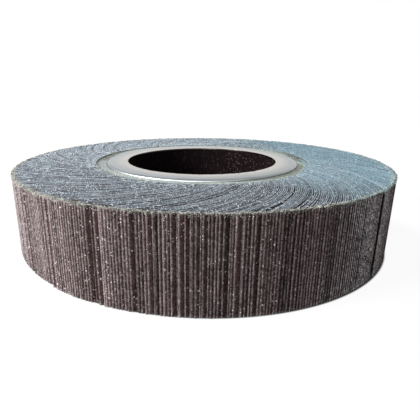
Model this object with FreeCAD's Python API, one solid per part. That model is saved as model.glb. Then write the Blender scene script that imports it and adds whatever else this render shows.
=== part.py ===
import FreeCAD, Part
import math
import os

# Unmounted flap wheel, lying on its side. Abrasive cloth flaps stand in a ring round an open bore.
# Their roots are notched on both edges and cast into a spool of resin, and a stamped steel flange
# ring is bonded to each face of the spool. Outside the resin every flap leans over onto the next
# one, so the pack swirls clockwise, seen from above, and its fine edges show on both faces.
#
# The frame: the origin is on the wheel's axis, in the plane of the lower flange ring, on which the
# wheel lies. +Z runs up the bore. Lengths are millimetres, and azimuths are degrees from +X.

# The wheel as it is ordered
outer_diameter = 305.0
wheel_width = 60.0             # across the flaps, from cut edge to cut edge
bore_diameter = 127.0          # through the flange rings

# The flaps
bundle_count = 46              # the flaps go into the mould in bundles
flaps_per_bundle = 10
flap_thickness = 0.85          # cloth and grit together
flap_air_gap = 0.30            # between two flaps, square to them, outside the resin
flap_bend_share = 0.60         # where the flap's two straight stretches meet, along its free depth
root_notch = 5.0               # cut out of each edge of a flap's root
bundle_gap = 0.10              # between the roots of two bundles

# The flange rings
flange_band = 17.5             # from the bore to the ring's rim
flange_thickness = 1.5
flange_proud = 0.5             # how far a ring stands out of the flaps' cut edges
flange_round = 1.1             # radius of the rim's rolled-over outer corner

# The cured resin
resin_margin = 9.0             # bare resin between a ring's rim and the flaps
resin_setback = 0.75           # the resin stands back from the bore behind the rings
resin_skin = 2.25              # over the ends of the flaps, round the bore
root_web = 1.5                 # resin still binds the flaps this far outside the margin
bond_line = 0.05               # between two pieces that are bonded together

# What the photograph shows of this one wheel
closing_gap_azimuth = -41.5    # at the rim: the last bundle is a flap short
short_bundles = range(31, 36)  # their lower edges stand a little higher than the rest
short_bundle_step = 1.2

# Worked out from the above
outer_radius = outer_diameter / 2
bore_radius = bore_diameter / 2
flange_radius = bore_radius + flange_band
recess_radius = flange_radius + resin_margin
root_radius = bore_radius + resin_setback + resin_skin
slot_radius = recess_radius + root_web
bend_radius = slot_radius + flap_bend_share * (outer_radius - slot_radius)
middle_height = flange_proud + wheel_width / 2

bundle_angle = 2 * math.pi / bundle_count
flap_angle = bundle_angle / flaps_per_bundle
# Flaps that lie on one another at an even spacing follow involutes of this circle.
packing_radius = (flap_thickness + flap_air_gap) / flap_angle


def lean(radius):
    """Angle between a flap and the radius through it."""
    return math.acos(min(1.0, packing_radius / radius))


def swirl(radius):
    """How far round the axis a flap has drifted by this radius, since it left the resin."""
    def involute(angle):
        return math.tan(angle) - angle
    return involute(lean(radius)) - involute(lean(slot_radius))


def half_width(radius):
    """Half the angle that a leaning flap takes up at this radius."""
    return flap_thickness / math.cos(lean(radius)) / (2 * radius)


# A flap's end is cut square, so that the face below it ends a little short of the rim.
low_tip_radius = outer_radius - flap_thickness * math.sin(lean(outer_radius))


def polar(radius, angle):
    return FreeCAD.Vector(radius * math.cos(angle), radius * math.sin(angle), 0)


def bundle_outline(flap_count):
    """Outline of a bundle from above, its root centred on the X axis.

    The bundle is knocked up flush before it is cast, so the end of its root is flat. A bundle that
    is short of flaps lacks the last ones, counted counterclockwise.
    """
    def root_side(radius):
        return bundle_angle / 2 - bundle_gap / 2 / radius

    def slot_end(number):
        """Inner end of the slot before this flap, or a corner of the root at either end."""
        if number == 0:
            return polar(slot_radius, -root_side(slot_radius))
        if number == flaps_per_bundle:
            return polar(slot_radius, root_side(slot_radius))
        return polar(slot_radius, number * flap_angle - bundle_angle / 2)

    def flap_side(number, side, radii):
        middle = (number + 0.5) * flap_angle - bundle_angle / 2
        return [polar(radius, middle - swirl(radius) + side * half_width(radius)) for radius in radii]

    root_turn = root_side(root_radius)
    root_corner = root_radius / math.cos(root_turn)
    points = [polar(root_corner, -root_turn)]
    for number in range(flap_count):
        points.append(slot_end(number))
        points += flap_side(number, -1, (bend_radius, low_tip_radius))
        points += flap_side(number, 1, (outer_radius, bend_radius))
    points.append(slot_end(flap_count))
    if flap_count < flaps_per_bundle:
        points.append(slot_end(flaps_per_bundle))
    points.append(polar(root_corner, root_turn))
    return Part.makePolygon(points + points[:1])


def flap_bundle(flap_count, short_by=0.0):
    """Flaps bonded at their roots, with a notch in both edges of the root."""
    low = middle_height - wheel_width / 2
    high = middle_height + wheel_width / 2
    face = Part.Face(bundle_outline(flap_count))
    face.translate(FreeCAD.Vector(0, 0, low + short_by))
    solid = face.extrude(FreeCAD.Vector(0, 0, wheel_width - short_by))
    notch_half = recess_radius * math.tan(bundle_angle / 2)
    for floor in (low, high - root_notch):
        corner = FreeCAD.Vector(0, -notch_half, floor)
        solid = solid.cut(Part.makeBox(recess_radius, 2 * notch_half, root_notch, corner))
    return solid


def bundle_turn(number):
    """Degrees that turn bundle 1 .. bundle_count into place, counting on from the closing gap."""
    gap_at_root = math.radians(closing_gap_azimuth) + swirl(outer_radius)
    return math.degrees(gap_at_root + (number - 0.5) * bundle_angle)


def turned(points):
    """Solid of revolution about the axis, from a section through (radius, height) pairs."""
    outline = [FreeCAD.Vector(radius, 0, height) for radius, height in points]
    section = Part.Face(Part.makePolygon(outline + outline[:1]))
    return section.revolve(FreeCAD.Vector(0, 0, 0), FreeCAD.Vector(0, 0, 1), 360)


def flange_ring():
    """Stamped ring of the upper face, flat, with the outer corner of its face rolled over."""
    face = middle_height + wheel_width / 2 + flange_proud
    back = face - flange_thickness
    corner_radius = flange_radius - flange_round
    corner_height = face - flange_round
    # The rolled corner is drawn in two flats, whose ends lie on its arc.
    rolled = [(corner_radius + flange_round * math.cos(turn),
               corner_height + flange_round * math.sin(turn))
              for turn in (math.pi / 2, math.pi / 4, 0)]
    return turned([(bore_radius, back), (bore_radius, face)] + rolled + [(flange_radius, back)])


def resin_core():
    """Spool of cured resin: a skin round the bore, and a layer in the notches of both faces."""
    inside = bore_radius + resin_setback
    skin = root_radius - bond_line
    rim = recess_radius - bond_line
    surface = wheel_width / 2 + flange_proud - flange_thickness - bond_line
    roots = wheel_width / 2 - root_notch + bond_line
    upper = [(inside, surface), (rim, surface), (rim, roots), (skin, roots)]
    lower = [(radius, -height) for radius, height in reversed(upper)]
    core = turned(upper + lower)
    core.translate(FreeCAD.Vector(0, 0, middle_height))
    return core


def main():
    os.makedirs("parts", exist_ok=True)
    centre = FreeCAD.Vector(0, 0, 0)
    axis = FreeCAD.Vector(0, 0, 1)

    full = flap_bundle(flaps_per_bundle)
    short = flap_bundle(flaps_per_bundle, short_bundle_step)
    closing = flap_bundle(flaps_per_bundle - 1)
    for number in range(1, bundle_count + 1):
        pattern = closing if number == bundle_count else short if number in short_bundles else full
        bundle = pattern.copy()
        bundle.rotate(centre, axis, bundle_turn(number))
        bundle.exportStep(f"parts/flap_bundle_{number:02d}.step")

    resin_core().exportStep("parts/resin_core.step")

    upper_ring = flange_ring()
    upper_ring.exportStep("parts/flange_ring_upper.step")
    lower_ring = upper_ring.mirror(FreeCAD.Vector(0, 0, middle_height), axis)
    lower_ring.exportStep("parts/flange_ring_lower.step")


main()
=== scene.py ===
import math

import bpy
import numpy as np
from bpy.props import FloatProperty, FloatVectorProperty, IntProperty, PointerProperty
from mathutils import Matrix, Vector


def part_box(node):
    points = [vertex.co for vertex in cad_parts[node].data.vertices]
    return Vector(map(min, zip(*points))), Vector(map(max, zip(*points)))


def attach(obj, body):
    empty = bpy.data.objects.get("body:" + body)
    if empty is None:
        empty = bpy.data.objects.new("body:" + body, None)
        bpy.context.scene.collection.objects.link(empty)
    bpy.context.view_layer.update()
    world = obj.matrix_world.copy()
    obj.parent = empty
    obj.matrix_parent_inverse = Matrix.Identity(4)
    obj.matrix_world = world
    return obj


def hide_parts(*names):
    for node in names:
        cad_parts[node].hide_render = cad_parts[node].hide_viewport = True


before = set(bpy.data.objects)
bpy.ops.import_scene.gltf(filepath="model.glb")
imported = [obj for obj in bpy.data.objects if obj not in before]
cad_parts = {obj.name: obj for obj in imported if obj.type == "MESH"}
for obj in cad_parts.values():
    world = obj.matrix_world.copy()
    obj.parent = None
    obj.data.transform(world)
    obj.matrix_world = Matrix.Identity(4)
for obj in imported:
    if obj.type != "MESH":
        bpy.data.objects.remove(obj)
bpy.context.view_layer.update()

bl_info = {
    "name": "Flap Wheel",
    "version": (1, 0, 0),
    "blender": (4, 5, 0),
    "location": "View3D > Sidebar > Flap Wheel",
    "description": "Models an unmounted abrasive flap wheel, lying on its side, round its packed solids",
    "category": "Add Mesh",
}

MM = 0.001
HAIR = 0.01 * MM  # Corners this close lie in the same plane.
DOUBLED = 0.005 * MM  # Corners this close are one.
BODY = "root"

BUNDLE_NODES = sorted(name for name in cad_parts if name.startswith("flap_bundle_"))
BUNDLE_ANGLE = 2 * math.pi / len(BUNDLE_NODES)


# Corners

def read_corners(mesh):
    corners = np.zeros(len(mesh.vertices) * 3)
    mesh.vertices.foreach_get("co", corners)
    return corners.reshape(-1, 3)


def write_corners(mesh, corners):
    mesh.vertices.foreach_set("co", corners.ravel())
    mesh.update()


def write_tone(mesh, tone):
    """Gives every corner its tone, from dark to light, which the materials read."""
    shades = mesh.attributes.new("tone", "FLOAT", "POINT")
    shades.data.foreach_set("value", tone.astype(np.float32))


def radii(corners):
    return np.hypot(corners[:, 0], corners[:, 1])


def around(radius, azimuth, height):
    return np.column_stack([radius * np.cos(azimuth), radius * np.sin(azimuth), height])


def solid_radii(node):
    return radii(read_corners(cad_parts[node].data))


# Sizes that the solids already have, in metres
RING_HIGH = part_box("flange_ring_upper")[1]
CORE_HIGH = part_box("resin_core")[1]
FLAPS_LOW, FLAPS_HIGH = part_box(BUNDLE_NODES[0])
FLAP_WIDTH = FLAPS_HIGH.z - FLAPS_LOW.z
RIM_RADIUS = float(solid_radii(BUNDLE_NODES[0]).max())
ROOT_RADIUS = float(solid_radii(BUNDLE_NODES[0]).min())
BORE_RADIUS = float(solid_radii("flange_ring_upper").min())
RING_RADIUS = RING_HIGH.x
CORE_BORE_RADIUS = float(solid_radii("resin_core").min())
CORE_RIM_RADIUS = CORE_HIGH.x
FACE_HEIGHT = RING_HIGH.z
MIDDLE_HEIGHT = FACE_HEIGHT / 2


# Sizes and colours

def setting(name, description, default, kind=FloatProperty, least=0.0, **more):
    return kind(name=name, description=description, default=default, min=least, **more)


def length(name, description, millimetres):
    return setting(name, description, millimetres * MM, unit="LENGTH", precision=5)


def number_of(name, description, default):
    return setting(name, description, default, IntProperty, 1)


def colour(name, description, default):
    return setting(name, description, default, FloatVectorProperty, max=1.0, size=3, subtype="COLOR")


class FlapSizes(bpy.types.PropertyGroup):
    thickness: length("Thickness", "Cloth and grit together, outside the resin", 0.85)
    root_thickness: length("Root thickness", "Cloth and grit pressed together in the resin", 0.82)
    pitch: length("Pitch", "From one flap to the next, square to them", 1.15)
    per_bundle: number_of("Per bundle", "Flaps in a full bundle", 10)
    notch: length("Root notch", "Cut out of each edge of a flap's root", 5.0)
    notch_radius: length("Notch radius", "How far out the root notches reach", 90.0)
    slot_radius: length("Slot radius", "Where the flaps part from one another", 91.5)
    edge_unevenness: length("Edge unevenness", "How far the cut edges stand off their plane", 0.10)
    boundary_gap: length("Bundle gap", "Widest extra gap between two bundles at the rim", 0.6)
    ragged_ends: length("Ragged ends", "How much shorter the shortest flap is", 2.1)


class YarnSizes(bpy.types.PropertyGroup):
    on_face: number_of("On the face", "Loose ends of yarn on the upper face", 1800)
    on_corner: number_of("On the corner", "Loose ends of yarn along the rim's upper corner", 2000)
    fluff: number_of("Fluff", "Short tufts on the cut edges of the upper face", 20000)
    corner_fluff: number_of("Fluff on the corner", "Short tufts along the rim's upper corner", 10000)
    length_share: setting("Length", "Length of the yarn ends, as a share of the usual", 1.0)


class RingSizes(bpy.types.PropertyGroup):
    thickness: length("Thickness", "Sheet thickness of a flange ring", 1.5)
    corner: length("Rolled rim", "How far the ring rolls down at its rim", 1.1)
    roll: length("Width of the roll", "How far in from its rim the ring starts to roll down", 3.6)
    inner_corner: length("Inner corner", "Radius of the corner at the bore", 0.18)


class ResinSizes(bpy.types.PropertyGroup):
    bond_line: length("Bond line", "Clearance to the pieces bonded to the resin", 0.05)
    meniscus: length("Meniscus", "How far the resin climbs the flaps", 0.3)
    unevenness: length("Unevenness", "Lumps in the bare resin", 0.14)


class WheelColours(bpy.types.PropertyGroup):
    cloth_edge: colour("Cloth edge", "Cut edge of the cloth on the two faces", (0.210, 0.246, 0.281))
    cloth_blue: colour("Blue cloth edge", "Cut edge where the cloth is bluer", (0.118, 0.195, 0.232))
    cloth_end: colour("Cloth end", "Outer end of a flap", (0.095, 0.075, 0.077))
    end_blue: colour("Blue cloth end", "Outer end where the cloth is bluer", (0.297, 0.290, 0.294))
    cloth_back: colour("Cloth back", "Back of the cloth", (0.22, 0.28, 0.31))
    grit: colour("Grit", "Abrasive between its grains", (0.036, 0.016, 0.017))
    grain: colour("Grain", "Bright abrasive grains", (0.375, 0.31, 0.31))
    fringe: colour("Fringe", "Frayed corner between rim and face", (0.31, 0.295, 0.26))
    resin: colour("Resin", "Cured resin of the faces", (0.24, 0.27, 0.25))
    # The bore's dark resin is partly painted shade.
    bore: colour("Bore", "Dark resin round the bore", (0.005, 0.0035, 0.004))
    yarn: colour("Yarn", "Frayed yarns on the face", (0.53, 0.59, 0.62))
    corner_yarn: colour("Corner yarn", "Frayed yarns along the rim", (0.46, 0.47, 0.43))
    # The warm and the plain steel are blended by radius, partly as painted reflection.
    steel_warm: colour("Warm steel", "Flange rings near the bore", (0.415, 0.395, 0.365))
    steel: colour("Steel", "Flange rings", (0.296, 0.340, 0.358))


class StageSettings(bpy.types.PropertyGroup):
    key_power: setting("Key lamp", "Power of the large lamp on the left", 22.5, unit="POWER")
    fill_power: setting("Fill lamp", "Power of the soft lamp on the right", 3.9, unit="POWER")
    back_power: setting("Back lamp", "Power of the soft lamp behind the wheel", 5.0, unit="POWER")
    ambient: setting("Ambient", "Strength of the light from all round", 0.12, max=1.0)
    lens: setting("Lens", "Focal length on a 36 mm wide frame", 32.80, least=1.0, unit="CAMERA")


class WheelSettings(bpy.types.PropertyGroup):
    flaps: PointerProperty(type=FlapSizes, name="Flaps", description="Sizes of the flaps")
    yarns: PointerProperty(type=YarnSizes, name="Yarns", description="Frayed ends of yarn")
    ring: PointerProperty(type=RingSizes, name="Flange ring", description="Sizes of a flange ring")
    resin: PointerProperty(type=ResinSizes, name="Resin", description="Sizes of the cast resin")
    colours: PointerProperty(type=WheelColours, name="Colours", description="Colours of the finishes")
    stage: PointerProperty(type=StageSettings, name="Stage", description="Lamps and camera")


# Modelling by operators

def set_mode(mode):
    bpy.ops.object.mode_set(mode=mode)


def select_whole():
    bpy.ops.mesh.select_all(action="SELECT")


def deselect_all():
    if bpy.context.object and bpy.context.object.mode != "OBJECT":
        set_mode("OBJECT")
    bpy.ops.object.select_all(action="DESELECT")


def pick(piece):
    """Makes this piece the only one that the next operator acts on."""
    deselect_all()
    piece.select_set(True)
    bpy.context.view_layer.objects.active = piece


def named(name):
    """The object that the last operator added, with its name."""
    piece = bpy.context.object
    piece.name = piece.data.name = name
    return piece


def select_where(piece, kind, test):
    """Selects a piece's faces, edges or corners, by where their corners are. Ends in edit mode."""
    set_mode("EDIT")
    bpy.ops.mesh.select_mode(type={"polygons": "FACE", "edges": "EDGE", "vertices": "VERT"}[kind])
    bpy.ops.mesh.select_all(action="DESELECT")
    set_mode("OBJECT")
    corners = piece.data.vertices
    for element in getattr(piece.data, kind):
        indices = [element.index] if kind == "vertices" else element.vertices
        element.select = all(test(corners[index].co) for index in indices)
    set_mode("EDIT")


def face_outwards():
    """In edit mode: merges doubled corners, then turns the faces outwards."""
    select_whole()
    bpy.ops.mesh.remove_doubles(threshold=DOUBLED)
    bpy.ops.mesh.normals_make_consistent(inside=False)


def drawn_section(name, points):
    """Draws a closed section in the XZ plane: its first corner, then each next one extruded from it."""
    deselect_all()
    bpy.ops.mesh.primitive_plane_add(size=MM)
    section = named(name)
    set_mode("EDIT")
    bpy.ops.mesh.select_mode(type="VERT")
    bpy.ops.mesh.merge(type="CENTER")
    bpy.ops.transform.translate(value=(points[0][0], 0, points[0][1]))
    for (x, z), (next_x, next_z) in zip(points, points[1:]):
        bpy.ops.mesh.extrude_region_move(TRANSFORM_OT_translate={"value": (next_x - x, 0, next_z - z)})
    set_mode("OBJECT")
    places = [corner.co.copy() for corner in section.data.vertices]
    ends = [min(places, key=lambda place: math.hypot(place.x - x, place.z - z))
            for x, z in (points[0], points[-1])]
    select_where(section, "vertices", lambda place: any((place - end).length < HAIR for end in ends))
    bpy.ops.mesh.edge_face_add()
    set_mode("OBJECT")
    return section


def spin_round(piece, steps):
    """Spins a section once round the wheel's axis, and closes the seam."""
    pick(piece)
    set_mode("EDIT")
    select_whole()
    bpy.ops.mesh.spin(steps=steps, angle=2 * math.pi, center=(0, 0, 0), axis=(0, 0, 1))
    face_outwards()
    set_mode("OBJECT")


def stack_up(piece, count, step):
    """Copies a piece upwards, this many in all, as one mesh."""
    pick(piece)
    stack = piece.modifiers.new("Array", "ARRAY")
    stack.count = count
    stack.use_relative_offset = False
    stack.use_constant_offset = True
    stack.constant_offset_displace = (0, 0, step)
    bpy.ops.object.modifier_apply(modifier=stack.name)


def own_copy(piece, name):
    copy = piece.copy()
    copy.data = piece.data.copy()
    copy.name = copy.data.name = name
    bpy.context.scene.collection.objects.link(copy)
    return copy


def dress(piece, *materials):
    piece.data.materials.clear()
    for material in materials:
        piece.data.materials.append(material)


def mount(piece, node=None):
    """Lets a finished piece ride on the wheel, in the place of its solid if it has one."""
    if node:
        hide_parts(node)
    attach(piece, BODY)


# Shader nodes

def is_linked(value):
    return isinstance(value, bpy.types.NodeSocket)


def feed(node, sockets):
    """Links a node's inputs to other sockets, or sets them to values. A colour has three parts."""
    for key, value in sockets.items():
        entry = node.inputs[key]
        if is_linked(value):
            node.id_data.links.new(value, entry)
        else:
            entry.default_value = (*value, 1.0) if entry.type == "RGBA" else value


def first_node(tree, kind, **settings):
    """A node that nothing leads into."""
    node = tree.nodes.new(kind)
    for name, value in settings.items():
        setattr(node, name, value)
    return node


def add_node(kind, sockets, **settings):
    """A node in the tree of the sockets that lead into it."""
    tree = next(value.id_data for value in sockets.values() if is_linked(value))
    node = first_node(tree, kind, **settings)
    feed(node, sockets)
    return node


def calc(operation, *values, clamp=False):
    return add_node("ShaderNodeMath", dict(enumerate(values)), operation=operation,
                    use_clamp=clamp).outputs[0]


def plus(first, second, clamp=False):
    return calc("ADD", first, second, clamp=clamp)


def minus(first, second, clamp=False):
    return calc("SUBTRACT", first, second, clamp=clamp)


def times(value, *factors):
    for factor in factors:
        value = calc("MULTIPLY", value, factor)
    return value


def times_plus(value, factor, more):
    return calc("MULTIPLY_ADD", value, factor, more)


def remap(value, low, high, new_low=0.0, new_high=1.0):
    """Smooth step from low to high."""
    return add_node("ShaderNodeMapRange", {"Value": value, "From Min": low, "From Max": high,
                                           "To Min": new_low, "To Max": new_high},
                    interpolation_type="SMOOTHSTEP").outputs["Result"]


def remap_mm(value, low, high, new_low=0.0, new_high=1.0):
    """The same for a length, its low and high in millimetres."""
    return remap(value, low * MM, high * MM, new_low, new_high)


def blended(factor, first, second, blend_type="MIX"):
    return add_node("ShaderNodeMix", {0: factor, 6: first, 7: second}, data_type="RGBA",
                    blend_type=blend_type).outputs[2]


def scaled(look, gain):
    return add_node("ShaderNodeVectorMath", {0: look, 3: gain}, operation="SCALE").outputs[0]


def noise(vector, size, detail=2.0, roughness=0.5):
    """Noise whose features are about this size, in millimetres."""
    return add_node("ShaderNodeTexNoise", {"Vector": vector, "Scale": 1.0 / (size * MM),
                                           "Detail": detail, "Roughness": roughness}).outputs["Fac"]


def bump(height, distance, strength):
    """The normal over bumps, their distance in millimetres."""
    return add_node("ShaderNodeBump", {"Height": height, "Distance": distance * MM,
                                       "Strength": strength}).outputs["Normal"]


def coordinates(vector):
    return add_node("ShaderNodeSeparateXYZ", {0: vector}).outputs


def upright(vector, share_up):
    """Stretches what is drawn from this vector upwards."""
    return add_node("ShaderNodeVectorMath", {0: vector, 1: (1.0, 1.0, share_up)},
                    operation="MULTIPLY").outputs[0]


def tone_of(tree):
    return first_node(tree, "ShaderNodeAttribute", attribute_name="tone").outputs["Fac"]


def new_group(name, inputs, outputs):
    """An empty node group. Returns its inner input sockets, and the node that its results go to."""
    tree = bpy.data.node_groups.new(name, "ShaderNodeTree")
    for in_out, sockets in (("INPUT", inputs), ("OUTPUT", outputs)):
        for socket, kind in sockets.items():
            tree.interface.new_socket(name=socket, in_out=in_out, socket_type="NodeSocket" + kind)
    return first_node(tree, "NodeGroupInput").outputs, first_node(tree, "NodeGroupOutput")


def use_group(name, **sockets):
    return add_node("ShaderNodeGroup", sockets, node_tree=bpy.data.node_groups[name]).outputs


def make_wheel_place_group():
    """Where a point is on the wheel: its radius, its azimuth and its height above the middle."""
    given, result = new_group("Wheel place", {"Vector": "Vector"},
                              {"Radius": "Float", "Azimuth": "Float", "Height": "Float"})
    x, y, z = coordinates(given["Vector"])
    feed(result, {"Radius": calc("SQRT", plus(times(x, x), times(y, y))),
                  "Azimuth": calc("ARCTAN2", y, x),
                  "Height": minus(z, MIDDLE_HEIGHT)})


def make_cloth_sides_group():
    """Masks of the side of the wheel that was cut from bluer cloth, and of the one with more fluff."""
    given, result = new_group("Cloth sides", {"Vector": "Vector"},
                              {"Bluer": "Float", "Fluffier": "Float"})
    x, y = coordinates(given["Vector"])[:2]
    wander = times_plus(noise(given["Vector"], 45, detail=3.0), 110 * MM, -55 * MM)
    across = times_plus(y, 0.12, plus(x, wander))
    most = remap_mm(plus(across, y), -60, 100)
    # There is hardly any of it on the front.
    some = remap_mm(times_plus(wander, 0.5, y), -125, -50, 0.0, 0.36)
    feed(result, {"Bluer": remap_mm(across, 20, 120), "Fluffier": calc("MAXIMUM", most, some)})


def make_speckle_group():
    """Scattered specks: only some cells hold one, and their sizes differ."""
    given, result = new_group("Speckle", {"Vector": "Vector", "Size": "Float", "Share": "Float",
                                          "Fill": "Float"}, {"Mask": "Float"})
    cells = add_node("ShaderNodeTexVoronoi", {"Vector": given["Vector"], "Randomness": 1.0,
                                              "Scale": calc("DIVIDE", 1.0, given["Size"])}).outputs
    chance, size = add_node("ShaderNodeSeparateColor", {0: cells["Color"]}).outputs[:2]
    reach = times(given["Fill"], times_plus(size, 0.8, 0.5))
    inside = minus(1.0, calc("DIVIDE", cells["Distance"], reach), clamp=True)
    holds_one = calc("LESS_THAN", chance, given["Share"])
    feed(result, {"Mask": times(remap(inside, 0.0, 0.5), holds_one)})


def specks(vector, size, share_of_cells, fill):
    return use_group("Speckle", Vector=vector, Size=size * MM, Share=share_of_cells, Fill=fill)["Mask"]


def make_mottle_group():
    """A colour mottled at two scales, from darker to brighter."""
    given, result = new_group("Mottle", {"Vector": "Vector", "Color": "Color", "Fine": "Float",
                                         "Coarse": "Float", "Contrast": "Float"},
                              {"Color": "Color", "Value": "Float"})
    fine, coarse = [
        add_node("ShaderNodeTexNoise", {"Vector": given["Vector"], "Detail": detail,
                                        "Scale": calc("DIVIDE", 1.0, given[scale])}).outputs["Fac"]
        for scale, detail in (("Fine", 2.0), ("Coarse", 3.0))]
    both = plus(times_plus(fine, 2.6, -1.3), times_plus(coarse, 0.7, -0.35))
    gain = calc("MAXIMUM", times_plus(both, given["Contrast"], 1.0), 0.08)
    feed(result, {"Color": scaled(given["Color"], gain), "Value": both})


def mottled(vector, look, fine, coarse, contrast):
    """The mottled colour, and the value that mottles it. Its two sizes are in millimetres."""
    return use_group("Mottle", Vector=vector, Color=look, Fine=fine * MM, Coarse=coarse * MM,
                     Contrast=contrast)


# Materials

def new_material(name):
    """A material, its tree, and the places that it is drawn from."""
    material = bpy.data.materials.new(name)
    material.use_nodes = True
    tree = material.node_tree
    return material, tree, first_node(tree, "ShaderNodeTexCoord").outputs["Object"]


def finished(material, look, roughness, **more):
    shader = material.node_tree.nodes["Principled BSDF"]
    feed(shader, {"Base Color": look, "Roughness": roughness})
    feed(shader, {key.replace("_", " "): value for key, value in more.items()})
    return material


def make_cloth_material(colours):
    """Coated cloth seen on its cut edges: pale cloth and dark grit side by side in every flap."""
    material, tree, place = new_material("Abrasive cloth")
    x, y = coordinates(place)[:2]
    radius, _, height = use_group("Wheel place", Vector=place)
    bluer, fluffier = use_group("Cloth sides", Vector=place)
    from_tip, through = coordinates(first_node(tree, "ShaderNodeUVMap", uv_map="Flap").outputs[0])[:2]
    tone = tone_of(tree)
    # In millimetres, the two faces are 30 off the middle, the roots' notches end at a radius of 90,
    # and the rim is at 152.5.
    off_middle = calc("ABSOLUTE", height)
    on_face = remap_mm(off_middle, 29.3, 29.9)
    streaked = upright(place, 0.6)

    # The cut edge of the cloth, on the two faces
    edge = mottled(place, blended(bluer, colours.cloth_edge, colours.cloth_blue), 1.0, 9, 1.3)["Color"]
    # The end of a flap, at the rim. The ends are bluer and paler towards the right, partly as painted
    # light.
    end = mottled(streaked, blended(bluer, colours.cloth_end, colours.end_blue), 0.6, 6, 2.2)["Color"]
    end = scaled(end, plus(times_plus(tone, 0.9, 0.55), remap_mm(x, 20, 90, 0.0, 0.25)))
    cloth = blended(on_face, end, edge)
    # Little light reaches the back of the cloth deep between two flaps.
    depth = calc("MINIMUM", from_tip, minus(30 * MM, off_middle))
    back = blended(remap_mm(depth, 0.3, 2.6), colours.cloth_back, (0.02, 0.018, 0.019))
    cloth = blended(calc("LESS_THAN", through, 0.02), cloth, back)

    # The grit side. Its red shows where it is worn bare near the tip and fades deeper in as painted
    # shade between the flaps, and not between the threads on the faces.
    grains = noise(place, 0.55, detail=3.0, roughness=0.6)
    bright_grains = remap(times_plus(noise(streaked, 5), 0.25, grains), 0.52, 0.78)
    at_end = calc("LESS_THAN", from_tip, 0.02 * MM)
    # Wear at the tip, and painted shade deeper between the flaps
    wear_and_painted_shade = times(remap_mm(from_tip, 0.3, 1.3, 1.0, 0.15), times_plus(at_end, -0.5, 1.0))
    bare = blended(times(on_face, 0.8), colours.grit, (0.030, 0.029, 0.034))
    grit = blended(times(bright_grains, wear_and_painted_shade), bare, colours.grain)
    ragged = times_plus(noise(place, 0.9), 0.5, -0.25)
    # On the two faces, fluff from the cloth hides some of the grit.
    fluff = times(on_face, times_plus(fluffier, 0.57, 0.08))
    layer = minus(plus(through, ragged), fluff)
    look = blended(remap(layer, times_plus(on_face, -0.06, 0.52), 0.72), cloth, grit)
    # The cloth is bare and frayed along the very tip.
    frayed = remap_mm(times_plus(noise(place, 0.8), 0.8 * MM, from_tip), 0.5, 0.8, 0.85, 0.0)
    frayed = times(frayed, minus(1.0, calc("MAXIMUM", at_end, on_face)))
    look = blended(frayed, look, (0.37, 0.33, 0.325))

    # The frayed corner between the rim and the faces
    wander = times_plus(noise(place, 3), 2.6 * MM, -1.3 * MM)
    narrow = remap_mm(x, -105, -50, 0.0, MM)
    near_corner = remap_mm(minus(plus(off_middle, wander), narrow), 27.5, 29.3)
    near_rim = remap_mm(plus(radius, wander), 148.2, 150.8)
    fringe = times(near_corner, near_rim, remap_mm(height, -1, 1, 0.2, 0.7))
    look = blended(fringe, look, colours.fringe)

    # The wall that the flaps' notched roots make round the resin is painted dark as painted shade, and
    # painted pale at the back as painted light.
    wall = times(calc("LESS_THAN", radius, 90.5 * MM), remap_mm(off_middle, 29.75, 29.9, 1.0, 0.0), 0.9)
    look = blended(wall, look, blended(remap_mm(y, 30, 55), (0.035, 0.03, 0.03), (0.30, 0.325, 0.335)))
    # Resin that crept out between the flaps
    creep = remap_mm(times_plus(noise(place, 7, detail=3.0), 7 * MM, radius), 93.5, 97.0, 1.0, 0.0)
    look = blended(times(creep, on_face, 0.6), look, colours.resin)
    # Bright ends of yarn, which on the rim are also painted glints, and dark pits on the faces, painted
    # as the shade in them
    yarn_ends_and_glints = blended(on_face, (0.72, 0.67, 0.67), colours.yarn)
    look = blended(times(specks(place, 1.1, 0.12, 0.42), 0.8), look, yarn_ends_and_glints)
    look = blended(times(specks(place, 1.3, 0.45, 0.42), on_face, 0.85), look, (0.06, 0.055, 0.065))

    # Flaps differ, and most at the rim, where they are also speckled. The far left is painted a little
    # darker, as painted shade.
    shade = times_plus(minus(tone, 0.5), times_plus(on_face, -0.45, 1.0), 1.0)
    speckled = remap(noise(place, 1.7, roughness=0.6), 0.3, 0.7, -0.42, 0.42)
    shade = plus(shade, times(speckled, minus(1.0, on_face)))
    shade = plus(shade, remap_mm(x, -150, -90, -0.13, 0.0))
    return finished(material, scaled(look, shade), 0.9, Specular_IOR_Level=0.12,
                    Normal=bump(times_plus(noise(place, 1.4), 0.8, grains), 0.25, 0.6))


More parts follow.
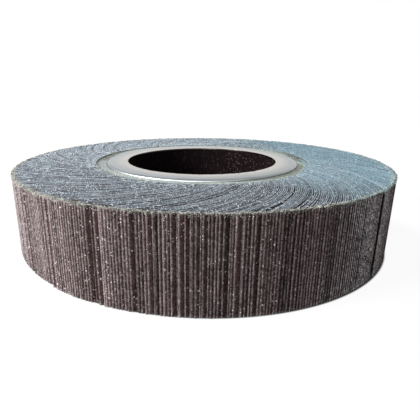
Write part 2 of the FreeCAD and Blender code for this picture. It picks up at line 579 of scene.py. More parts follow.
def make_resin_material(colours):
    """Resin that is greener on the right and duller on the left, with painted shade in its crevices and
    under the flaps.
    """
    material, _, place = new_material("Cured resin")
    x, y = coordinates(place)[:2]
    radius = use_group("Wheel place", Vector=place)["Radius"]
    look, lumps = mottled(place, colours.resin, 0.9, 10, 0.35)
    look = blended(times(specks(place, 2.2, 0.22, 0.3), 0.5), look, (0.10, 0.10, 0.10))
    # Greener on the right, where the darker green is partly painted shade
    look = blended(remap_mm(x, 20, 80, 0.0, 0.65), look, (0.15, 0.205, 0.155))
    look = blended(remap_mm(x, -60, -84, 0.0, 0.65), look, (0.13, 0.135, 0.14))
    # Painted shade under the flaps, most of it on the left and the right, and in the groove beside the
    # ring, which is widest at the front right.
    beside = times(remap_mm(y, 20, 40, 1.0, 0.0), remap_mm(y, -8, 4))
    wander = times_plus(beside, 4.5 * MM, times_plus(noise(place, 8), 5 * MM, radius))
    widened = times(remap_mm(x, 10, 50, 0.0, 4 * MM), remap_mm(y, -22, -6, 1.0, 0.0))
    groove = remap(minus(radius, widened), RING_RADIUS + 0.2 * MM, RING_RADIUS + 1.4 * MM, 1.0, 0.0)
    painted_crevice_shade = plus(remap_mm(wander, 88, 92.5), groove, clamp=True)
    painted_crevice_shade = times(painted_crevice_shade, times_plus(beside, 0.2, 0.75), remap_mm(y, 35, 60, 1.0, 0.25))
    look = blended(painted_crevice_shade, look, (0.058, 0.060, 0.048))
    # At the right, fluff from the flaps lies on the resin's margin.
    margin = remap_mm(times_plus(noise(place, 4), 3 * MM, radius), 88.2, 89.0)
    covered = times(margin, remap_mm(x, 74, 80), remap_mm(y, 5, 14, 1.0, 0.0))
    look = blended(covered, look, (0.115, 0.185, 0.215))
    return finished(material, look, remap(noise(place, 3), 0.3, 0.7, 0.42, 0.62),
                    Specular_IOR_Level=0.3, Normal=bump(lumps, 0.2, 0.5))


def make_bore_material(colours):
    """Dark resin skin, darkened further as painted shade, with the roots of the flaps showing as upright
    streaks.
    """
    material, _, place = new_material("Resin bore")
    streaks = noise(upright(place, 0.14), 1.2, detail=3.0, roughness=0.65)
    look = blended(remap(streaks, 0.55, 0.8), colours.bore, (0.05, 0.030, 0.030))
    # Most of the torn fibres show on one side of the bore.
    torn = remap_mm(times_plus(noise(place, 15), 50 * MM, coordinates(place)[0]), 20, 75, 0.12, 1.0)
    look = blended(times(torn, 0.16), look, (0.022, 0.008, 0.007))
    flecks = specks(upright(place, 0.6), 1.3, 0.4, 0.33)
    look = blended(times(flecks, torn), look, (0.13, 0.11, 0.108))
    return finished(material, look, 0.8, Specular_IOR_Level=0.03, Normal=bump(streaks, 0.3, 0.6))


def make_steel_material(colours):
    """Stamped steel, with the fine rings that finishing left on it, a painted highlight and painted
    reflection.
    """
    material, _, place = new_material("Flange steel")
    radius, azimuth, height = use_group("Wheel place", Vector=place)
    lathed = add_node("ShaderNodeCombineXYZ", {0: radius, 1: times(azimuth, 6 * MM), 2: height})
    rings = noise(lathed.outputs[0], 0.45, detail=3.0)
    smears = noise(place, 22, detail=4.0, roughness=0.6)
    # Warmer and brighter towards the bore, cooler and darker towards the rim: part finish, part painted
    # reflection
    inner = remap(radius, BORE_RADIUS + 3 * MM, RING_RADIUS - 4 * MM, 1.0, 0.0)
    gain = times_plus(inner, 0.18, plus(plus(times(rings, 0.16), times(smears, 0.9)), 0.38))
    # The ring is painted duller towards the right, as painted reflection.
    outer = blended(remap_mm(coordinates(place)[0], -70, 60), colours.steel, (0.246, 0.271, 0.277))
    look = scaled(blended(inner, outer, colours.steel_warm), gain)
    # One stretch of the rolled edge is painted bright as a painted highlight, and made rougher there.
    painted_edge_highlight = times(remap(radius, RING_RADIUS - 0.4 * MM, RING_RADIUS - 0.05 * MM),
                   remap(azimuth, -3.0, -2.3), remap(azimuth, -1.65, -0.95, 1.0, 0.0))
    look = blended(painted_edge_highlight, look, (0.78, 0.82, 0.82))
    # The wall of the bore is darkened.
    dark_bore_wall = remap(radius, BORE_RADIUS + 0.03 * MM, BORE_RADIUS + 0.12 * MM, 0.9, 0.0)
    look = blended(dark_bore_wall, look, (0.035, 0.028, 0.026))
    rough = plus(remap(smears, 0.3, 0.7, 0.15, 0.23), times(rings, 0.06))
    return finished(material, look, times_plus(painted_edge_highlight, 0.16, rough), Metallic=1.0,
                    Normal=bump(rings, 0.02, 0.35))


def make_thread_material(piece_name, thread_colour):
    """Loose cotton, bluer on one side of the wheel. Tufts of fluff each have their own tone."""
    material, tree, place = new_material(piece_name.replace("_", " ").capitalize())
    bluer = use_group("Cloth sides", Vector=place)["Bluer"]
    look = blended(bluer, thread_colour, (0.62, 0.84, 0.94), blend_type="MULTIPLY")
    if piece_name.startswith("fluff"):
        tone = tone_of(tree)
        look = scaled(look, times_plus(times(tone, tone), 1.9, 0.1))
    else:
        look = mottled(place, look, 0.6, 12, 0.4)["Color"]
    return finished(material, look, 0.9, Specular_IOR_Level=0.1)


def white_rays(tree):
    """The rays that see the floor and the world white."""
    path = first_node(tree, "ShaderNodeLightPath").outputs
    seen = plus(path["Is Camera Ray"], path["Is Glossy Ray"])
    return plus(seen, path["Is Transmission Ray"], clamp=True)


def make_floor_material():
    """White to the camera and in reflections, with the wheel's shadow kept, and pale to other rays."""
    material, tree, place = new_material("Pale floor")
    # No light gets in under the wheel, least of all on the side away from the key lamp. Far from
    # the wheel the floor meets the white backdrop.
    shifted = add_node("ShaderNodeVectorMath", {0: place, 1: (-2.4 * MM, 1.2 * MM, 0)},
                       operation="ADD").outputs[0]
    radius = use_group("Wheel place", Vector=shifted)["Radius"]
    lit = remap(radius, RIM_RADIUS - 3.0 * MM, RIM_RADIUS - 1.4 * MM, 0.02, 0.94)
    glow = plus(lit, remap(radius, 0.2, 0.8, 0.0, 0.06))
    white = add_node("ShaderNodeCombineColor", dict.fromkeys(("Red", "Green", "Blue"), glow)).outputs[0]
    finished(material, (0.07, 0.07, 0.07), 1.0, Specular_IOR_Level=0.0, Emission_Color=white,
             Emission_Strength=1.0)
    pale = first_node(tree, "ShaderNodeBsdfDiffuse")
    feed(pale, {"Color": (0.30, 0.30, 0.30)})
    mix = add_node("ShaderNodeMixShader", {0: white_rays(tree), 1: pale.outputs[0],
                                           2: tree.nodes["Principled BSDF"].outputs[0]})
    feed(tree.nodes["Material Output"], {"Surface": mix.outputs[0]})
    return material


# Flaps

BUNDLE_SEED = 4074
PARTED_BUNDLE = 38  # There is a wide gap between it and bundle 37.
END_STRIP = 2.4 * MM  # From a flap's last whole row of corners to its end


def packing_radius(sizes):
    """A flap leaves the resin along the radius, then lies on the next one, along an involute of
    this circle, because flaps that lie flat on one another at an even spacing do."""
    return sizes.pitch * sizes.per_bundle / BUNDLE_ANGLE


def involute_turn(radius, circle):
    """How far along the involute, in radians of its circle, the curve reaches this radius."""
    return math.sqrt((radius / circle) ** 2 - 1)


def involute_drift(radius, circle):
    """How far round the axis the involute has drifted by this radius."""
    turn = involute_turn(radius, circle)
    return turn - math.atan(turn)


def flat_length(turn, circle):
    """Flat length of a flap, from its root to this turn of the involute."""
    return circle - ROOT_RADIUS + circle * turn ** 2 / 2


def flap_depth(sizes, radius=RIM_RADIUS):
    """Flat length of a flap, from its root to this radius of the wheel."""
    circle = packing_radius(sizes)
    return flat_length(involute_turn(radius, circle), circle)


def flap_stations(sizes):
    """Where a flat flap gets a row of corners, from root to end."""
    circle = packing_radius(sizes)
    first, last = involute_turn(sizes.notch_radius, circle), involute_turn(RIM_RADIUS, circle)
    on_curve = [flat_length(turn, circle) for turn in np.linspace(first, last, 13)[:-1]]
    return [circle - ROOT_RADIUS] + on_curve + [flap_depth(sizes) - END_STRIP]


def bisect(place, normal):
    bpy.ops.mesh.bisect(plane_co=place, plane_no=normal, threshold=0.001 * MM)


def flat_stack(sizes):
    """A bundle of notched flaps, knocked up flush and lying flat, each cut from a plain sheet."""
    depth, width, notch = flap_depth(sizes), FLAP_WIDTH, sizes.notch
    notch_depth = flap_depth(sizes, sizes.notch_radius) + HAIR
    deselect_all()
    bpy.ops.mesh.primitive_plane_add(size=1.0, location=(depth / 2, width / 2, 0))
    stack = named("flat_stack")
    stack.scale = (depth, width, 1.0)
    bpy.ops.object.transform_apply(location=True, rotation=False, scale=True)

    set_mode("EDIT")
    for station in flap_stations(sizes):
        select_whole()
        bisect((station, 0, 0), (1, 0, 0))
    # Two notches in the root
    for across in (notch, width - notch):
        select_where(stack, "polygons", lambda place: place.x < notch_depth)
        bisect((0, across, 0), (0, 1, 0))
    for low, high in ((-MM, notch + HAIR), (width - notch - HAIR, width + MM)):
        select_where(stack, "polygons", lambda place: place.x < notch_depth and low < place.y < high)
        bpy.ops.mesh.delete(type="FACE")
    # Rows along the end, for its uneven cut
    for across in (1.3 * MM, 0.2 * width, 0.4 * width, 0.6 * width, 0.8 * width, width - 1.3 * MM):
        select_where(stack, "polygons", lambda place: place.x > depth - END_STRIP - HAIR)
        bisect((0, across, 0), (0, 1, 0))
    select_whole()
    bpy.ops.mesh.extrude_region_move(TRANSFORM_OT_translate={"value": (0, 0, sizes.thickness)})
    face_outwards()
    set_mode("OBJECT")
    stack_up(stack, sizes.per_bundle, sizes.pitch)
    return stack


def shifts_at_rim(sizes, number, count, rng):
    """How far each flap's end is off its even place, and how wide the gap beside the bundle is."""
    per_bundle, air = sizes.per_bundle, sizes.pitch - sizes.thickness
    # Beside the closing gap the bundles were pressed tight, to get the last one in.
    loose = np.interp(number, (0, 4, 32, 34, 36, 38, 43, 46), (0.0, 1.0, 1.0, 0.4, 0.4, 1.0, 1.0, 0.0))
    opening = rng.uniform(0.1, 1.0) ** 2 * sizes.boundary_gap * loose
    before = 0.5
    if number == PARTED_BUNDLE:
        opening, before = 2.2 * sizes.boundary_gap, 0.9
    mean, least = air - opening / per_bundle, 0.03 * MM
    gaps = rng.gamma(6.0 - 5.4 * loose, 1.0, per_bundle)
    gaps = least + gaps / gaps.sum() * per_bundle * (mean - least)
    shift = np.cumsum(gaps) - gaps[0] / 2 + opening * before
    if count < per_bundle:
        # The flaps beside the missing one lie close, and leave a clear gap.
        shift = np.arange(per_bundle) * 0.19 * MM
    return shift - air * (np.arange(per_bundle) + 0.5), opening


def edge_heights(sizes, low_edge, opening, flap, along, across, rng):
    """How high the corners are: each flap's cut edges have a height of their own, and small waves."""
    count, unevenness = flap.max() + 1, sizes.edge_unevenness
    lift_top = np.clip(rng.normal(0, 1, count), -2, 1.8) * unevenness
    lift_low = np.clip(rng.normal(0, 1, count), -1.8, 2) * unevenness
    lift_top += rng.uniform(-1.2, 0.6) * unevenness
    if opening > 0.3 * sizes.boundary_gap:
        lift_top[0] -= rng.uniform(0.1, 0.4) * MM
        lift_top[-1] -= rng.uniform(0.0, 0.3) * MM
    phase = rng.uniform(0, 2 * math.pi, (count, 2))[flap]
    wave = np.sin(along / (9 * MM) + phase[:, 0]) + np.sin(along / (4.1 * MM) + phase[:, 1])
    wave = 0.05 * MM * wave
    jitter = rng.normal(0, 0.05 * MM, len(along))
    near_end = along > flap_depth(sizes) - END_STRIP - HAIR
    frayed = rng.uniform(-0.55, 0.20, len(along)) * MM * near_end
    height = low_edge + across / FLAP_WIDTH * (FLAPS_HIGH.z - low_edge)
    height = height + (across > FLAP_WIDTH - HAIR) * (lift_top[flap] + wave + jitter + frayed)
    height = height + (across < HAIR) * (lift_low[flap] - wave + jitter)
    return np.clip(height, max(low_edge - 0.45 * MM, 0.02 * MM), FACE_HEIGHT - 0.06 * MM)


def lay_on_wheel(piece, sizes, node, number, rng):
    """Moves a flat stack's corners to their places in the wheel, as uneven as a hand-laid bundle's."""
    mesh = piece.data
    along, across, up = read_corners(mesh).T
    flap = np.floor(up / sizes.pitch + 0.01).astype(int)
    through = (up - flap * sizes.pitch) / sizes.thickness
    count = flap.max() + 1
    circle = packing_radius(sizes)
    straight = circle - ROOT_RADIUS
    depth, free = flap_depth(sizes), flap_depth(sizes, sizes.slot_radius)
    # The front bundles were trimmed least evenly.
    untrimmed = np.interp(number, (36, 39, 42, 46), (0.3, 1.0, 1.0, 0.05))

    shift, opening = shifts_at_rim(sizes, number, count, rng)
    offset = shift[flap] * np.clip((along - free) / (depth - free), 0, 1) ** 1.6
    height = edge_heights(sizes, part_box(node)[0].z, opening, flap, along, across, rng)

    # Each flap's end: cut a little short, and not quite straight
    from_end = depth - along
    short = rng.uniform(0, 0.06 + 0.10 * untrimmed, count) * sizes.ragged_ends
    cut_short = rng.uniform(size=count) < 0.24 * untrimmed
    short[cut_short] = rng.uniform(0.4, 1.0, cut_short.sum()) * sizes.ragged_ends
    slant = rng.normal(0, 0.10 * MM, count)[flap] * (across / FLAP_WIDTH - 0.5) * 2
    uneven = rng.normal(0, 0.05 * MM, len(along))
    along = along - (from_end < HAIR) * (short[flap] + np.abs(slant) + np.abs(uneven))
    near_end = from_end < END_STRIP + HAIR
    offset = offset + near_end * rng.normal(0, 0.035 * MM, len(along))

    middle = (flap + 0.5 - sizes.per_bundle / 2) * BUNDLE_ANGLE / sizes.per_bundle
    start = bundle_azimuth(node) + middle + involute_drift(sizes.slot_radius, circle)
    turn = np.sqrt(2 * np.maximum(along - straight, 0) / circle)
    thick = np.where(along < straight + HAIR, sizes.root_thickness, sizes.thickness)
    on_base = np.minimum(ROOT_RADIUS + along, circle)
    string = circle * turn + (through - 0.5) * thick + offset
    x = on_base * np.cos(start - turn) - string * np.sin(start - turn)
    y = on_base * np.sin(start - turn) + string * np.cos(start - turn)
    # The far corner of a square-cut end reaches the rim, and nothing goes past it.
    inside = np.minimum(1.0, (RIM_RADIUS - 0.02 * MM) / np.hypot(x, y))
    write_corners(mesh, np.column_stack([x * inside, y * inside, height]))

    # Neighbouring flaps tend to look alike.
    tone = rng.normal(0, 0.12 + 0.14 * untrimmed, count)
    tone[1:] = np.where(rng.uniform(size=count - 1) < 0.2, tone[:-1], tone[1:])
    write_tone(mesh, np.clip(tone + 0.5 + rng.normal(0, 0.05), 0.0, 1.0)[flap])
    corner = np.zeros(len(mesh.loops), int)
    mesh.loops.foreach_get("vertex_index", corner)
    while mesh.uv_layers:
        mesh.uv_layers.remove(mesh.uv_layers[0])
    layout = mesh.uv_layers.new(name="Flap")
    layout.data.foreach_set("uv", np.column_stack([from_end, through])[corner].ravel())
    mesh.flip_normals()
    mesh.update()


def bundle_azimuth(node):
    """Azimuth of the middle of a bundle's root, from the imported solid."""
    corners = read_corners(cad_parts[node].data)
    x, y, _ = corners[radii(corners) < ROOT_RADIUS + 0.2 * MM].mean(axis=0)
    return math.atan2(y, x)


class FLAPWHEEL_OT_flap_bundles(bpy.types.Operator):
    """Cuts one flap, stacks it into a bundle, and lays a bundle on every bundle of the wheel"""
    bl_idname = "flapwheel.flap_bundles"
    bl_label = "Lay flap bundles"

    def execute(self, context):
        settings = context.scene.flap_wheel
        sizes = settings.flaps
        cloth = make_cloth_material(settings.colours)
        full = flat_stack(sizes)
        short = own_copy(full, "short_stack")
        pick(short)
        last = (sizes.per_bundle - 1) * sizes.pitch - HAIR
        select_where(short, "vertices", lambda place: place.z > last)
        bpy.ops.mesh.delete(type="VERT")
        set_mode("OBJECT")
        for number, node in enumerate(BUNDLE_NODES, 1):
            closing = number == len(BUNDLE_NODES)
            piece = own_copy(short if closing else full, f"flaps_{number:02d}")
            dress(piece, cloth)
            lay_on_wheel(piece, sizes, node, number, np.random.default_rng((BUNDLE_SEED, number)))
            mount(piece, node)
        bpy.data.objects.remove(full)
        bpy.data.objects.remove(short)
        return {"FINISHED"}


# Resin core

RESIN_SEED = 63
RESIN_STEPS = 300  # once round the bore


class FLAPWHEEL_OT_resin_core(bpy.types.Operator):
    """Draws the section of the cast resin, spins it round the bore, and makes its surface uneven"""
    bl_idname = "flapwheel.resin_core"
    bl_label = "Cast resin core"

    def execute(self, context):
        settings = context.scene.flap_wheel
        sizes = settings.resin
        top, climb = CORE_HIGH.z, sizes.meniscus
        skin = ROOT_RADIUS - sizes.bond_line
        notch_floor = FLAPS_HIGH.z - settings.flaps.notch + sizes.bond_line
        # The resin sags beside the ring and climbs the flaps: how far out, and its share of the climb
        surface = [(RING_RADIUS + out * MM, top + rise * climb)
                   for out, rise in ((0.1, 0.0), (0.5, 0.30), (2.2, 0.15), (4.5, 0.2), (6.6, 0.45))]
        surface += [(CORE_RIM_RADIUS + out * MM, top + rise * climb)
                    for out, rise in ((-0.8, 0.8), (0.8, 1.0), (2.2, 0.9))]
        upper = [(CORE_BORE_RADIUS, top)] + surface + [
            (CORE_RIM_RADIUS + 2.2 * MM, notch_floor + 3 * MM), (CORE_RIM_RADIUS, notch_floor + 2 * MM),
            (CORE_RIM_RADIUS, notch_floor), (skin, notch_floor)]
        lower = [(radius, FACE_HEIGHT - height) for radius, height in reversed(upper)]
        wall = [(CORE_BORE_RADIUS, FACE_HEIGHT * up) for up in (0.2, 0.4, 0.6, 0.8)]
        core = drawn_section("resin_spool", upper + lower + wall)
        spin_round(core, RESIN_STEPS)
        self.make_uneven(core.data, sizes.unevenness)
        dress(core, make_resin_material(settings.colours), make_bore_material(settings.colours))
        in_bore = radii(read_corners(core.data)) < CORE_BORE_RADIUS + 0.6 * MM
        for face in core.data.polygons:
            face.material_index = int(all(in_bore[index] for index in face.vertices))
        pick(core)
        bpy.ops.object.shade_smooth_by_angle(angle=math.radians(40))
        mount(core, "resin_core")
        return {"FINISHED"}

    def make_uneven(self, mesh, unevenness):
        """Lumps on the bare resin of both faces, and upright ridges in the bore."""
        corners = read_corners(mesh)
        rng = np.random.default_rng(RESIN_SEED)
        radius, turn = radii(corners), np.arctan2(corners[:, 1], corners[:, 0])
        above = corners[:, 2] - MIDDLE_HEIGHT
        half_height = CORE_HIGH.z - MIDDLE_HEIGHT
        bare = (radius > RING_RADIUS + 0.3 * MM) & (np.abs(above) > half_height)
        waves = sum(rng.uniform(0.3, 1.0) * np.sin(number * turn + rng.uniform(0, 6.28))
                    for number in (3, 7, 13, 22, 37, 53)) / 3
        lump = (waves * 0.9 + rng.normal(0, 0.55, len(turn))) * unevenness
        corners[:, 2] += bare * np.sign(above) * np.clip(lump, -0.3 * MM, 0.25 * MM)
        inside = (radius < CORE_BORE_RADIUS + 0.1 * MM) & (np.abs(above) <= half_height - 0.1 * MM)
        ridge = rng.uniform(0, 0.35 * MM, len(turn)) * inside
        corners[:, :2] *= (1 + ridge / radius)[:, None]
        write_corners(mesh, corners)


# Flange rings

RING_SEED = 127
RING_STEPS = 360  # once round the bore
# Nicks in the upper ring's inner edge: azimuth in degrees and depth in millimetres
NICKS = ((-166, 0.8), (77, 0.3), (4, 0.6))
NICK_HALF_WIDTH = 1.6  # in degrees


class FLAPWHEEL_OT_flange_rings(bpy.types.Operator):
    """Draws a flange ring's section with its rolled rim, spins it, and mirrors it to the other face"""
    bl_idname = "flapwheel.flange_rings"
    bl_label = "Stamp flange rings"

    def execute(self, context):
        settings = context.scene.flap_wheel
        sizes = settings.ring
        back, face = FACE_HEIGHT - sizes.thickness, FACE_HEIGHT
        # The rings of corners on the flat keep it flat beside its rolled edge.
        crest = RING_RADIUS - sizes.roll
        flat = (BORE_RADIUS + 0.6 * MM, BORE_RADIUS + 6 * MM, crest - 4 * MM, crest - 0.3 * MM)
        rolled = [(crest + sizes.roll * math.cos(turn), face - sizes.corner * (1 - math.sin(turn)))
                  for turn in np.linspace(math.pi / 2, 0, 11)]
        upper = drawn_section("steel_ring_upper",
                              [(BORE_RADIUS, back), (BORE_RADIUS, face)]
                              + [(radius, face) for radius in flat] + rolled + [(RING_RADIUS, back)])
        spin_round(upper, RING_STEPS)
        select_where(upper, "edges", lambda place: (
            abs(place.z - face) < HAIR and abs(place.xy.length - BORE_RADIUS) < 0.05 * MM))
        bpy.ops.mesh.bevel(offset=sizes.inner_corner, segments=3, affect="EDGES")
        set_mode("OBJECT")
        self.nick_inner_edge(upper.data)
        dress(upper, make_steel_material(settings.colours))
        lower = own_copy(upper, "steel_ring_lower")
        pick(lower)
        set_mode("EDIT")
        select_whole()
        bpy.ops.transform.resize(value=(1, 1, -1), center_override=(0, 0, MIDDLE_HEIGHT))
        face_outwards()
        for ring, node in ((upper, "flange_ring_upper"), (lower, "flange_ring_lower")):
            pick(ring)
            bpy.ops.object.shade_smooth_by_angle(angle=math.radians(30))
            mount(ring, node)
        return {"FINISHED"}

    def nick_inner_edge(self, mesh):
        """The burr that stamping left on the edge round the bore, and small dents in it."""
        rng = np.random.default_rng(RING_SEED)
        corners = read_corners(mesh)
        reach = radii(corners) - BORE_RADIUS
        burr = (reach < 0.3 * MM) & (corners[:, 2] > FACE_HEIGHT - 0.3 * MM) & (corners[:, 1] < 0)
        for index in np.flatnonzero(burr):
            corners[index, 2] -= rng.uniform(0, 0.22) ** 2 * 3 * MM
            corners[index, :2] *= 1 + rng.uniform() ** 3 * 0.5 * MM / BORE_RADIUS
        for azimuth, depth in NICKS:
            reach = radii(corners) - BORE_RADIUS
            turn = np.degrees(np.arctan2(corners[:, 1], corners[:, 0])) - azimuth
            off_nick = np.abs((turn + 180) % 360 - 180)
            dented = (off_nick < NICK_HALF_WIDTH) & (reach < 0.4 * MM)
            dented &= corners[:, 2] > FACE_HEIGHT - 0.5 * MM
            corners[:, 2] -= dented * depth * MM * (1 - off_nick / NICK_HALF_WIDTH)
        write_corners(mesh, corners)


# Frayed yarns and fluff

YARN_SEED, FLUFF_SEED = 101, 211
YARN_TUFTS, FLUFF_TUFTS = 150, 160
YARN_RINGS = 4
COPY_STEP = 4.0  # From one copy of a yarn or a tuft to the next, before they are scattered
YARN_CIRCLE = 84.2 * MM  # The yarns on the face lie roughly along the flaps, on involutes of it.
LEAN_AT_RIM = 0.98  # The same for the yarns at the rim, in radians


def copies_of(piece, count):
    """Copies a yarn or a tuft. Returns the copy that each corner is in, and its place in that copy."""
    stack_up(piece, count, COPY_STEP)
    x, y, z = read_corners(piece.data).T
    which = np.floor(z / COPY_STEP + 0.5).astype(int)
    return which, x, y, z - which * COPY_STEP


def azimuths(rng, count):
    return rng.uniform(-math.pi, math.pi, count)


def random_signs(rng, count):
    return rng.choice([-1, 1], count)


def radii_over_ring(rng, inner, outer, count):
    """Radii that are evenly spread over a ring's area. Its own two are in millimetres."""
    return np.sqrt(rng.uniform(inner ** 2, outer ** 2, count)) * MM


class FLAPWHEEL_OT_frayed_yarns(bpy.types.Operator):
    """Draws one end of yarn, copies it, and curls the copies up on the upper face and its corner"""
    bl_idname = "flapwheel.frayed_yarns"
    bl_label = "Fray yarns"

    def execute(self, context):
        sizes, colours = context.scene.flap_wheel.yarns, context.scene.flap_wheel.colours
        for name, count, lay, yarn_colour in (
                ("yarns_on_face", sizes.on_face, self.on_face, colours.yarn),
                ("yarns_on_corner", sizes.on_corner, self.on_corner, colours.corner_yarn)):
            piece = self.one_yarn(name)
            laid = lay(np.random.default_rng(len(name) * YARN_SEED), count, sizes.length_share)
            self.curl_up(piece.data, laid, *copies_of(piece, count))
            dress(piece, make_thread_material(name, yarn_colour))
            mount(piece)
        return {"FINISHED"}

    def one_yarn(self, name):
        """A straight bit of yarn along X, one unit long, drawn out ring by ring from a triangle."""
        deselect_all()
        bpy.ops.mesh.primitive_circle_add(vertices=3, radius=1.0, fill_type="NGON",
                                          rotation=(0, math.pi / 2, 0))
        yarn = named(name)
        bpy.ops.object.transform_apply(location=False, rotation=True, scale=False)
        set_mode("EDIT")
        select_whole()
        for _ in range(YARN_RINGS):
            bpy.ops.mesh.extrude_region_move(TRANSFORM_OT_translate={"value": (1.0 / YARN_RINGS, 0, 0)})
        face_outwards()
        set_mode("OBJECT")
        return yarn

    def curl_up(self, mesh, laid, which, along, side, up):
        """Curls each copy and lays it down, in its own place, length and direction."""
        spot, heading, size, curl, hump, thickness = (values[which] for values in laid)
        # The middle line bends steadily, and rises and falls once.
        turn = curl * (along - 0.5)
        taper = thickness * (1.0 - 0.45 * np.abs(2 * along - 1) ** 2)
        x = np.sin(turn) / curl * size - np.sin(turn) * side * taper
        y = (1 - np.cos(turn)) / curl * size + np.cos(turn) * side * taper
        z = up * taper + hump * np.sin(math.pi * along)
        cos, sin = np.cos(heading), np.sin(heading)
        write_corners(mesh, np.column_stack([x * cos - y * sin, x * sin + y * cos, z]) + spot)

    def on_face(self, rng, count, length_share):
        # Evenly over the flaps, and more of them beside the resin
        radius = radii_over_ring(rng, 91.5, 149, count)
        near = rng.uniform(size=count) < 0.3
        radius[near] = rng.uniform(89.5, 99, near.sum()) * MM
        azimuth = azimuths(rng, count)
        lean = np.arccos(np.minimum(1, YARN_CIRCLE / radius))
        heading = azimuth - lean + rng.normal(0, 0.7, count)
        spot = around(radius, azimuth, FLAPS_HIGH.z + rng.uniform(0.0, 0.12, count) * MM)
        size = (0.9 + 4.2 * rng.uniform(size=count) ** 2.5) * MM * length_share
        curl = rng.uniform(0.4, 3.6, count) * random_signs(rng, count)
        hump = rng.uniform(0.0, 0.30, count) * MM
        thickness = rng.uniform(0.08, 0.20, count) * MM
        # A few long ones lie in loops.
        loops = rng.uniform(size=count) < 0.007
        size[loops] = rng.uniform(5.0, 10.0, loops.sum()) * MM * length_share
        curl[loops] = rng.uniform(3.0, 5.0, loops.sum()) * random_signs(rng, loops.sum())
        hump[loops] = rng.uniform(0.2, 0.7, loops.sum()) * MM
        thickness[loops] = rng.uniform(0.16, 0.24, loops.sum()) * MM
        return spot, heading, size, curl, hump, thickness

    def on_corner(self, rng, count, length_share):
        # Half of them stand in tufts.
        azimuth = azimuths(rng, count)
        tufts = azimuths(rng, YARN_TUFTS)
        tufted = rng.uniform(size=count) < 0.5
        azimuth[tufted] = rng.choice(tufts, tufted.sum()) + rng.normal(0, 0.011, tufted.sum())
        radius = RIM_RADIUS - rng.uniform(0.1, 1.9, count) * MM
        heading = azimuth - LEAN_AT_RIM + rng.normal(0, 0.9, count)
        spot = around(radius, azimuth, FLAPS_HIGH.z - rng.uniform(-0.10, 0.45, count) * MM)
        size = rng.uniform(0.8, 3.0, count) * MM * length_share
        curl = rng.uniform(0.3, 3.0, count) * random_signs(rng, count)
        hump = rng.uniform(-0.1, 0.35, count) * MM
        return spot, heading, size, curl, hump, rng.uniform(0.09, 0.19, count) * MM


class FLAPWHEEL_OT_fluff(bpy.types.Operator):
    """Models one tiny tuft, copies it, and scatters the copies over the upper face and its corner"""
    bl_idname = "flapwheel.fluff"
    bl_label = "Raise fluff"

    def execute(self, context):
        sizes, colours = context.scene.flap_wheel.yarns, context.scene.flap_wheel.colours
        for name, count, spots, yarn_colour in (
                ("fluff_on_face", sizes.fluff, self.on_face, colours.yarn),
                ("fluff_on_corner", sizes.corner_fluff, self.on_corner, colours.corner_yarn)):
            deselect_all()
            bpy.ops.mesh.primitive_cone_add(vertices=3, radius1=1.0, radius2=0.0, depth=1.0)
            piece = named(name)
            which, x, y, up = copies_of(piece, count)
            rng = np.random.default_rng(len(name) * FLUFF_SEED)
            foot, tip, width = spots(rng, count)
            at_tip = up > 0
            spread = np.column_stack([x, y, np.zeros_like(up)]) * (width[which] * ~at_tip)[:, None]
            write_corners(piece.data, np.where(at_tip[:, None], tip[which], foot[which]) + spread)
            write_tone(piece.data, rng.uniform(0, 1, count)[which])
            dress(piece, make_thread_material(name, yarn_colour))
            mount(piece)
        return {"FINISHED"}

    def on_face(self, rng, count):
        radius = radii_over_ring(rng, 90.5, 151.8, count)
        azimuth = azimuths(rng, count)
        # Little of it is left on the front of the face.
        combed = rng.uniform(size=count) < 0.65 * np.exp(-((azimuth + 0.95) / 0.45) ** 2)
        azimuth[combed] += rng.uniform(1.2, 3.2, combed.sum())
        # Some of it fell on the resin.
        fallen = rng.uniform(size=count) < 0.08
        radius[fallen] = CORE_RIM_RADIUS - np.abs(rng.normal(0, 3.0, fallen.sum())).clip(0, 8) * MM
        foot = around(radius, azimuth, np.where(fallen, CORE_HIGH.z, FLAPS_HIGH.z - 0.15 * MM))
        lean = rng.normal(0, 0.35 * MM, (count, 2))
        height = (0.2 + 0.65 * rng.uniform(size=count) ** 2) * MM
        return foot, foot + np.column_stack([lean, height]), rng.uniform(0.12, 0.30, count) * MM

    def on_corner(self, rng, count):
        # Half of them stand in tufts.
        azimuth = azimuths(rng, count)
        tufted = rng.uniform(size=count) < 0.5
        azimuth[tufted] = rng.choice(azimuths(rng, FLUFF_TUFTS), tufted.sum())
        azimuth[tufted] += rng.normal(0, 0.010, tufted.sum())
        inwards = np.abs(rng.normal(0, 0.7 * MM, count))
        below = rng.uniform(size=count) ** 1.6 * 2.2 * MM * (inwards < 0.6 * MM)
        foot = around(RIM_RADIUS - 0.25 * MM - inwards, azimuth, FLAPS_HIGH.z - 0.15 * MM - below)
        tip = foot + around(rng.uniform(0.1, 0.6, count) * MM, azimuth, np.zeros(count))
        tip[:, :2] += rng.normal(0, 0.3 * MM, (count, 2))
        tip[:, 2] += rng.normal(0.35, 0.4, count) * MM
        return foot, tip, rng.uniform(0.15, 0.36, count) * MM


# Stage

# The camera, fitted to the ellipses of the wheel's two faces: it stands in front of the wheel and a
# little above its upper face. Its angles are in radians.
CAMERA_DISTANCE = 0.33317
CAMERA_ABOVE_FACE = 0.0592
CAMERA_PAN, CAMERA_DIP, CAMERA_ROLL = 0.0292, 0.3072, 0.0026
CAMERA_SHIFT = 0.0470
# For each lamp: azimuth and elevation in degrees, then distance and size in metres
KEY_PLACE = (-151, 25, 1.2, 0.40)
FILL_PLACE = (-105, 15, 1.2, 0.60)
BACK_PLACE = (114, 47, 0.58, 0.16)


def placed(name, data, matrix):
    """A lamp or camera, in the scene."""
    thing = bpy.data.objects.new(name, data)
    bpy.context.scene.collection.objects.link(thing)
    thing.matrix_world = matrix
    return thing


def turned(*turns):
    """Several turns, each an angle and an axis."""
    matrix = Matrix()
    for angle, axis in turns:
        matrix = matrix @ Matrix.Rotation(angle, 4, axis)
    return matrix


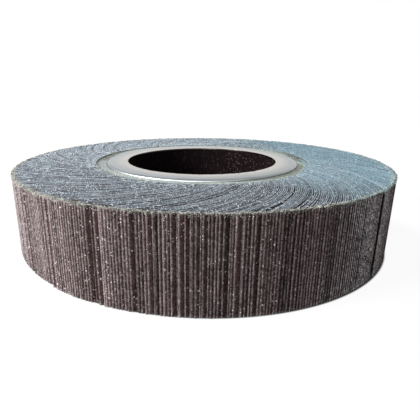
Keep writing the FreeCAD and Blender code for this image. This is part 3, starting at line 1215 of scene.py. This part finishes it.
class FLAPWHEEL_OT_stage(bpy.types.Operator):
    """Lays the floor, hangs the lamps and sets the camera where the photographer stood"""
    bl_idname = "flapwheel.stage"
    bl_label = "Set stage"

    def execute(self, context):
        scene, settings = context.scene, context.scene.flap_wheel.stage
        deselect_all()
        bpy.ops.mesh.primitive_plane_add(size=8.0, location=(0, 0, -0.2 * MM))
        floor = context.object
        floor.name = "floor"
        dress(floor, make_floor_material())

        self.lamp("key_lamp", settings.key_power, *KEY_PLACE)
        self.lamp("fill_lamp", settings.fill_power, *FILL_PLACE)
        # The back lamp only lifts the far side of the face, and leaves no highlight on the steel.
        self.lamp("back_lamp", settings.back_power, *BACK_PLACE).visible_glossy = False
        self.white_world(scene, settings.ambient)

        lens = bpy.data.cameras.new("camera")
        lens.sensor_width = 36.0
        lens.lens = settings.lens
        lens.shift_x = CAMERA_SHIFT
        stand = Matrix.Translation((0, -CAMERA_DISTANCE, FLAPS_HIGH.z + CAMERA_ABOVE_FACE))
        scene.camera = placed("camera", lens, stand @ turned(
            (CAMERA_PAN, "Z"), (math.pi / 2 - CAMERA_DIP, "X"), (CAMERA_ROLL, "Z")))
        scene.view_settings.view_transform = "Standard"
        return {"FINISHED"}

    def lamp(self, name, lamp_power, azimuth, elevation, distance, size):
        """A round lamp that faces the middle of the wheel."""
        light = bpy.data.lights.new(name, "AREA")
        light.shape, light.size, light.energy = "DISK", size, lamp_power
        facing = turned((math.radians(azimuth + 90), "Z"), (math.radians(90 - elevation), "X"))
        return placed(name, light, Matrix.Translation((0, 0, MIDDLE_HEIGHT)) @ facing
                      @ Matrix.Translation((0, 0, distance)))

    def white_world(self, scene, ambient):
        world = bpy.data.worlds.new("White studio")
        scene.world = world
        world.use_nodes = True
        strength = times_plus(white_rays(world.node_tree), 1.0 - ambient, ambient)
        feed(world.node_tree.nodes["Background"], {"Color": (1, 1, 1), "Strength": strength})


class FLAPWHEEL_PT_sidebar(bpy.types.Panel):
    bl_idname = "FLAPWHEEL_PT_sidebar"
    bl_label = "Flap Wheel"
    bl_space_type = "VIEW_3D"
    bl_region_type = "UI"
    bl_category = "Flap Wheel"

    def draw(self, context):
        for operator in STEPS:
            self.layout.operator(operator)
        settings = context.scene.flap_wheel
        for group_name in WheelSettings.__annotations__:
            group, box = getattr(settings, group_name), self.layout.box()
            for name in group.__annotations__:
                box.prop(group, name)


STEPS = ("flapwheel.stage", "flapwheel.flap_bundles", "flapwheel.resin_core", "flapwheel.flange_rings",
         "flapwheel.frayed_yarns", "flapwheel.fluff")
CLASSES = (FlapSizes, YarnSizes, RingSizes, ResinSizes, WheelColours, StageSettings, WheelSettings,
           FLAPWHEEL_OT_stage, FLAPWHEEL_OT_flap_bundles, FLAPWHEEL_OT_resin_core,
           FLAPWHEEL_OT_flange_rings, FLAPWHEEL_OT_frayed_yarns, FLAPWHEEL_OT_fluff,
           FLAPWHEEL_PT_sidebar)


def register():
    for each in CLASSES:
        bpy.utils.register_class(each)
    bpy.types.Scene.flap_wheel = PointerProperty(type=WheelSettings)


def unregister():
    del bpy.types.Scene.flap_wheel
    for each in reversed(CLASSES):
        bpy.utils.unregister_class(each)


def main():
    register()
    for make_group in (make_wheel_place_group, make_cloth_sides_group, make_speckle_group,
                       make_mottle_group):
        make_group()
    for step in STEPS:
        group, name = step.split(".")
        getattr(getattr(bpy.ops, group), name)()
    deselect_all()


if __name__ == "__main__":
    main()
